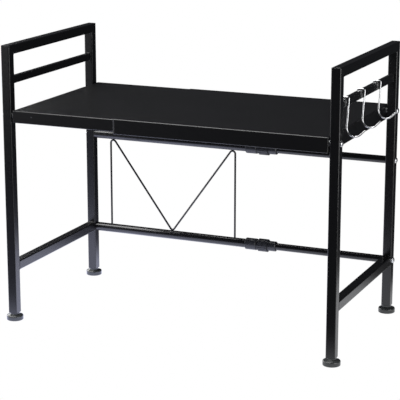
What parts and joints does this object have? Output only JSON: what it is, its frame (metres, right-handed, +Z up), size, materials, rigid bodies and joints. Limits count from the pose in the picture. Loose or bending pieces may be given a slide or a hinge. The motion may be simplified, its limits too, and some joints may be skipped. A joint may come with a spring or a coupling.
{
  "type": "extending counter rack",
  "caption": "Extending kitchen counter rack: two tube side frames, a telescoping sheet steel shelf, twist-lock rear rails, a wire brace, hanging hooks and levelling feet.",
  "frame": {"origin": "on the floor, under the middle of the overall box with the rack pulled out to its widest", "axes": "+X along the width towards the side with the hooks, +Y from the front to the back with the rails, +Z up"},
  "size_m": [0.7239, 0.3766, 0.5515],
  "materials": {
    "powder_coated_steel": "fine black powder coat, semi-gloss",
    "coated_tube": "black powder coat, semi-gloss",
    "coated_wire": "black powder coat on steel wire",
    "black_plastic": "moulded black plastic",
    "foot_plastic": "moulded dark grey plastic",
    "chromed_wire": "bright chrome plate",
    "plated_steel": "bright zinc plate"
  },
  "bodies": {
    "left_side": {"left_front_leg": "powder_coated_steel", "left_rear_leg": "powder_coated_steel", "left_top_rail": "powder_coated_steel", "left_mid_rail": "powder_coated_steel", "left_stretcher": "powder_coated_steel", "left_leg_plugs": "black_plastic", "left_shelf_spacers": "black_plastic", "left_shelf_nuts": "plated_steel", "left_shelf_bolts": "plated_steel", "left_rail_plugs": "black_plastic", "left_rail_bolts": "plated_steel", "inner_shelf_panel": "powder_coated_steel", "upper_outer_tube": "coated_tube", "lower_outer_tube": "coated_tube", "upper_lock_sleeve": "black_plastic", "lower_lock_sleeve": "black_plastic", "wire_brace": "coated_wire"},
    "right_side": {"right_front_leg": "powder_coated_steel", "right_rear_leg": "powder_coated_steel", "right_top_rail": "powder_coated_steel", "right_mid_rail": "powder_coated_steel", "right_stretcher": "powder_coated_steel", "right_leg_plugs": "black_plastic", "right_shelf_spacers": "black_plastic", "right_shelf_nuts": "plated_steel", "right_shelf_bolts": "plated_steel", "right_rail_plugs": "black_plastic", "right_rail_bolts": "plated_steel", "outer_shelf_panel": "powder_coated_steel", "upper_inner_tube": "coated_tube", "lower_inner_tube": "coated_tube", "upper_guide_plug": "black_plastic", "lower_guide_plug": "black_plastic"},
    "left_front_leveller": {"left_front_foot": "foot_plastic", "left_front_foot_stud": "plated_steel"},
    "left_rear_leveller": {"left_rear_foot": "foot_plastic", "left_rear_foot_stud": "plated_steel"},
    "right_front_leveller": {"right_front_foot": "foot_plastic", "right_front_foot_stud": "plated_steel"},
    "right_rear_leveller": {"right_rear_foot": "foot_plastic", "right_rear_foot_stud": "plated_steel"},
    "upper_lock": {"upper_lock_nut": "black_plastic"},
    "lower_lock": {"lower_lock_nut": "black_plastic"},
    "front_hook": {"front_hook": "chromed_wire"},
    "middle_hook": {"middle_hook": "chromed_wire"},
    "rear_hook": {"rear_hook": "chromed_wire"}
  },
  "joints": [
    {"name": "width_slide", "type": "slide", "parent": "left_side", "child": "right_side", "axis": [1, 0, 0], "range_m": [-0.21, 0]},
    {"name": "upper_lock_twist", "type": "hinge", "parent": "left_side", "child": "upper_lock", "pos_m": [0.0624, 0.1715, 0.3153], "axis": [1, 0, 0], "range_deg": [0, 180]},
    {"name": "lower_lock_twist", "type": "hinge", "parent": "left_side", "child": "lower_lock", "pos_m": [0.0624, 0.1715, 0.1098], "axis": [1, 0, 0], "range_deg": [0, 180]},
    {"name": "left_front_foot_adjust", "type": "slide", "parent": "left_side", "child": "left_front_leveller", "axis": [0, 0, -1], "range_m": [0, 0.008]},
    {"name": "left_rear_foot_adjust", "type": "slide", "parent": "left_side", "child": "left_rear_leveller", "axis": [0, 0, -1], "range_m": [0, 0.008]},
    {"name": "right_front_foot_adjust", "type": "slide", "parent": "right_side", "child": "right_front_leveller", "axis": [0, 0, -1], "range_m": [0, 0.008]},
    {"name": "right_rear_foot_adjust", "type": "slide", "parent": "right_side", "child": "right_rear_leveller", "axis": [0, 0, -1], "range_m": [0, 0.008]},
    {"name": "front_hook_slide", "type": "slide", "parent": "right_side", "child": "front_hook", "axis": [0, 1, 0], "range_m": [-0.0333, 0.0425]},
    {"name": "middle_hook_slide", "type": "slide", "parent": "right_side", "child": "middle_hook", "axis": [0, 1, 0], "range_m": [-0.0425, 0.0455]},
    {"name": "rear_hook_slide", "type": "slide", "parent": "right_side", "child": "rear_hook", "axis": [0, 1, 0], "range_m": [-0.0455, 0.0973]}
  ]
}
